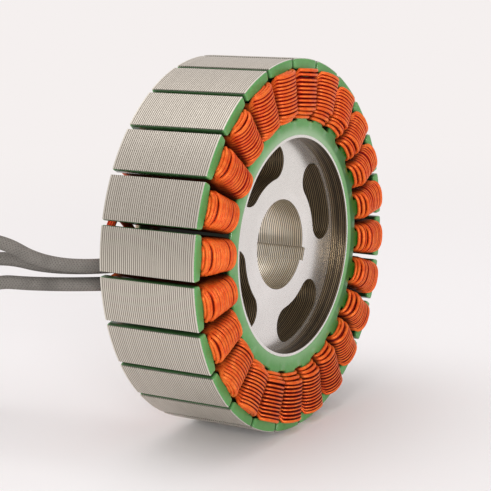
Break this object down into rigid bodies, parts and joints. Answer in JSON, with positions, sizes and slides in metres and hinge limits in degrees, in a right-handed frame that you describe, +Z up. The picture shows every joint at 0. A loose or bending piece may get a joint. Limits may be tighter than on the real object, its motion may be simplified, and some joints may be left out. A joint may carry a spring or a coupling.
{
  "type": "wound stator",
  "caption": "Wound stator of an outer-rotor motor: laminated steel core with a keyed hub bore, kidney windows, epoxy coating, copper coils on every tooth and sleeved leads.",
  "frame": {"origin": "on the bore axis, in the middle of the steel stack", "axes": "+Y along the bore axis, away from the wound face that is seen first and towards the leads; +Z up as it stands on its rim"},
  "size_m": [0.082, 0.1315, 0.0821],
  "materials": {
    "electrical_steel": "ground stack edge",
    "epoxy_skin": "cured powder, satin",
    "enamelled_copper": "gloss enamel",
    "woven_sleeve": "braided glass fibre, varnished",
    "shrink_tubing": "matte",
    "splice_tubing": "matte",
    "tinned_copper": "solder tinned"
  },
  "bodies": {
    "root": {"front_rim_laminations": "electrical_steel", "web_laminations": "electrical_steel", "back_rim_laminations": "electrical_steel", "epoxy_coating": "epoxy_skin", "coil_01": "enamelled_copper", "coil_02": "enamelled_copper", "coil_03": "enamelled_copper", "coil_04": "enamelled_copper", "coil_05": "enamelled_copper", "coil_06": "enamelled_copper", "coil_07": "enamelled_copper", "coil_08": "enamelled_copper", "coil_09": "enamelled_copper", "coil_10": "enamelled_copper", "coil_11": "enamelled_copper", "coil_12": "enamelled_copper", "coil_13": "enamelled_copper", "coil_14": "enamelled_copper", "coil_15": "enamelled_copper", "coil_16": "enamelled_copper", "coil_17": "enamelled_copper", "coil_18": "enamelled_copper", "coil_19": "enamelled_copper", "coil_20": "enamelled_copper", "coil_21": "enamelled_copper", "coil_22": "enamelled_copper", "coil_23": "enamelled_copper", "coil_24": "enamelled_copper", "phase_link_u": "enamelled_copper", "phase_link_v": "enamelled_copper", "phase_link_w": "enamelled_copper", "star_splice_sleeve": "splice_tubing", "lead_upper": "woven_sleeve", "lead_upper_collar": "shrink_tubing", "lead_upper_tinned_end": "tinned_copper", "lead_middle": "woven_sleeve", "lead_middle_collar": "shrink_tubing", "lead_middle_tinned_end": "tinned_copper", "lead_lower": "woven_sleeve", "lead_lower_collar": "shrink_tubing", "lead_lower_tinned_end": "tinned_copper"}
  },
  "joints": []
}
